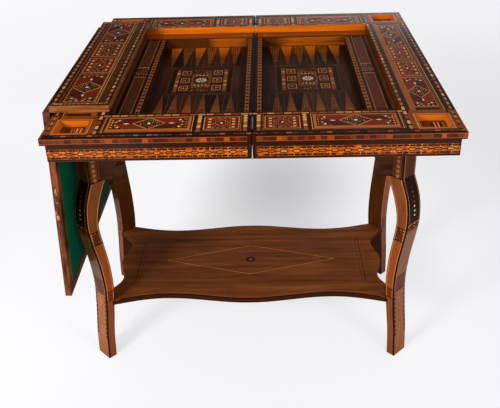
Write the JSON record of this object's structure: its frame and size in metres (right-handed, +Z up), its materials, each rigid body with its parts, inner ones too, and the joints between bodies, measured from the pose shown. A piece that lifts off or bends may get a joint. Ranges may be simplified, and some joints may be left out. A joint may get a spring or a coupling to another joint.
{
  "type": "tric trac table",
  "caption": "Square folding games table with two inlaid backgammon trays, corner wells, hinged cover board, S-shaped diagonal legs and serpentine shelf.",
  "frame": {"origin": "on the floor under the middle of the whole outline, hanging leaf included", "axes": "+Z up; +X from the hanging leaf towards the folding right half; -Y towards the front"},
  "size_m": [0.9316, 0.88, 0.8063],
  "materials": {
    "border_marquetry": "polished marquetry of small wood and pearl pieces",
    "tray_marquetry": "polished marquetry with points and a mosaic panel",
    "honey_wood": "polished",
    "dark_wood": "polished",
    "leg_veneer": "polished, ebony lines and light stringing",
    "shelf_wood": "high polish with light stringing",
    "plain_wood": "oiled, unseen faces",
    "green_baize": "napped wool cloth",
    "steel": "brushed"
  },
  "bodies": {
    "base": {"leg_front_left": "leg_veneer", "leg_front_right": "leg_veneer", "leg_back_left": "leg_veneer", "leg_back_right": "leg_veneer", "apron_front": "leg_veneer", "apron_back": "leg_veneer", "apron_left": "leg_veneer", "apron_right": "leg_veneer", "bracket_front_left": "leg_veneer", "bracket_front_right": "leg_veneer", "bracket_back_left": "leg_veneer", "bracket_back_right": "leg_veneer", "bracket_left_front": "leg_veneer", "bracket_left_back": "leg_veneer", "bracket_right_front": "leg_veneer", "bracket_right_back": "leg_veneer", "shelf": "shelf_wood", "pivot_rail": "plain_wood", "pivot_bolt": "steel", "pivot_washer": "steel", "pivot_nut": "steel", "bed_front_rail": "border_marquetry", "bed_front_ledge": "dark_wood", "bed_front_well": "honey_wood", "bed_back_rail": "border_marquetry", "bed_back_ledge": "dark_wood", "bed_back_well": "honey_wood", "bed_side_rail": "border_marquetry", "bed_side_panel": "tray_marquetry", "bed_centre_bar": "dark_wood", "bed_field": "tray_marquetry", "bed_bottom": "plain_wood", "seam_hinge_front_bed_plate": "steel", "seam_hinge_back_bed_plate": "steel", "seam_hinge_front_pin": "steel", "seam_hinge_back_pin": "steel"},
    "leaf": {"leaf_front_rail": "border_marquetry", "leaf_front_ledge": "dark_wood", "leaf_front_well": "honey_wood", "leaf_back_rail": "border_marquetry", "leaf_back_ledge": "dark_wood", "leaf_back_well": "honey_wood", "leaf_side_rail": "border_marquetry", "leaf_side_panel": "tray_marquetry", "leaf_centre_bar": "dark_wood", "leaf_field": "tray_marquetry", "leaf_bottom": "plain_wood", "seam_hinge_front_leaf_plate": "steel", "seam_hinge_back_leaf_plate": "steel"},
    "narrow_board": {"board_hinge_front_narrow_plate": "steel", "board_hinge_front_pin": "steel", "board_hinge_back_narrow_plate": "steel", "board_hinge_back_pin": "steel", "board_narrow_leaf": "border_marquetry", "board_narrow_leaf_baize": "green_baize"},
    "wide_board": {"board_hinge_front_wide_plate": "steel", "board_hinge_back_wide_plate": "steel", "board_wide_leaf": "border_marquetry", "board_wide_leaf_baize": "green_baize"}
  },
  "joints": [
    {"name": "leaf_fold", "type": "hinge", "parent": "base", "child": "leaf", "pos_m": [0.02582, 0, 0.79], "axis": [0, -1, 0], "range_deg": [0, 177]},
    {"name": "board_slide", "type": "slide", "parent": "base", "child": "narrow_board", "axis": [-1, 0, 0], "range_m": [0, 0.1]},
    {"name": "board_fold", "type": "hinge", "parent": "narrow_board", "child": "wide_board", "pos_m": [-0.42483, 0.02, 0.7903], "axis": [0, 1, 0], "range_deg": [0, 87.1]}
  ]
}
